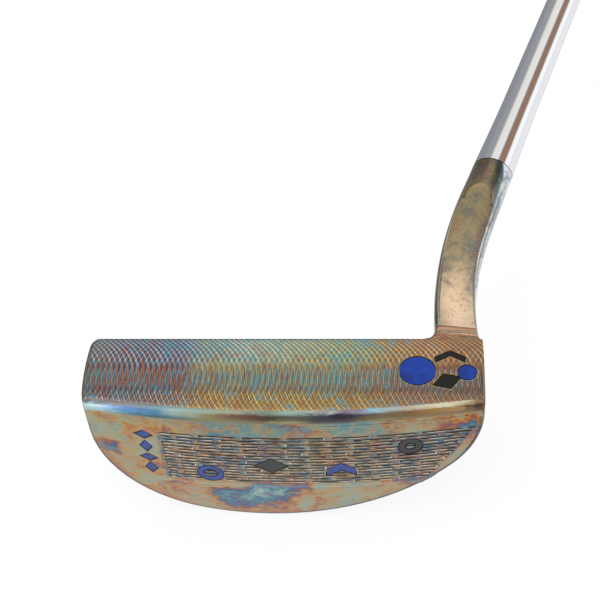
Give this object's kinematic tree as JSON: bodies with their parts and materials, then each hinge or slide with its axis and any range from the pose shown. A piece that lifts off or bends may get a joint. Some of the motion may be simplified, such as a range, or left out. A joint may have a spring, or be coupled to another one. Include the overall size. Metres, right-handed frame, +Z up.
{
  "type": "mallet putter",
  "caption": "Right-handed mid-mallet putter with a milled face, cambered sole, flow neck, chrome stepped shaft and rubber paddle grip, lying on its back.",
  "frame": {"origin": "centre of the bounding box on the surface that the club lies on", "axes": "+Y runs from the head towards the grip, +Z up, +X to the heel side; the striking face looks up"},
  "size_m": [0.3748, 0.849, 0.0536],
  "materials": {
    "torched_steel": "milled carbon steel with torch-heated gold, copper and blue oxide colours",
    "chrome": "bright chrome plate",
    "epoxy": "cured adhesive, hidden",
    "tape": "double-sided paper tape, hidden",
    "grip_rubber": "moulded matt rubber",
    "blue_enamel": "flat cobalt blue enamel fill",
    "black_enamel": "flat black enamel fill",
    "white_enamel": "white enamel fill"
  },
  "bodies": {
    "root": {"putter_head": "torched_steel", "shaft": "chrome", "hosel_epoxy": "epoxy", "grip_tape": "tape", "grip": "grip_rubber", "grip_end_cap": "grip_rubber", "sight_line_fill": "white_enamel", "sole_fill_1": "blue_enamel", "sole_fill_2": "black_enamel", "sole_fill_3": "blue_enamel", "sole_fill_4": "black_enamel", "toe_fill_1": "blue_enamel", "toe_fill_2": "blue_enamel", "toe_fill_3": "blue_enamel", "toe_fill_4": "blue_enamel", "face_fill_1": "blue_enamel", "face_fill_2": "black_enamel", "face_fill_3": "blue_enamel", "face_fill_4": "black_enamel"}
  },
  "joints": []
}
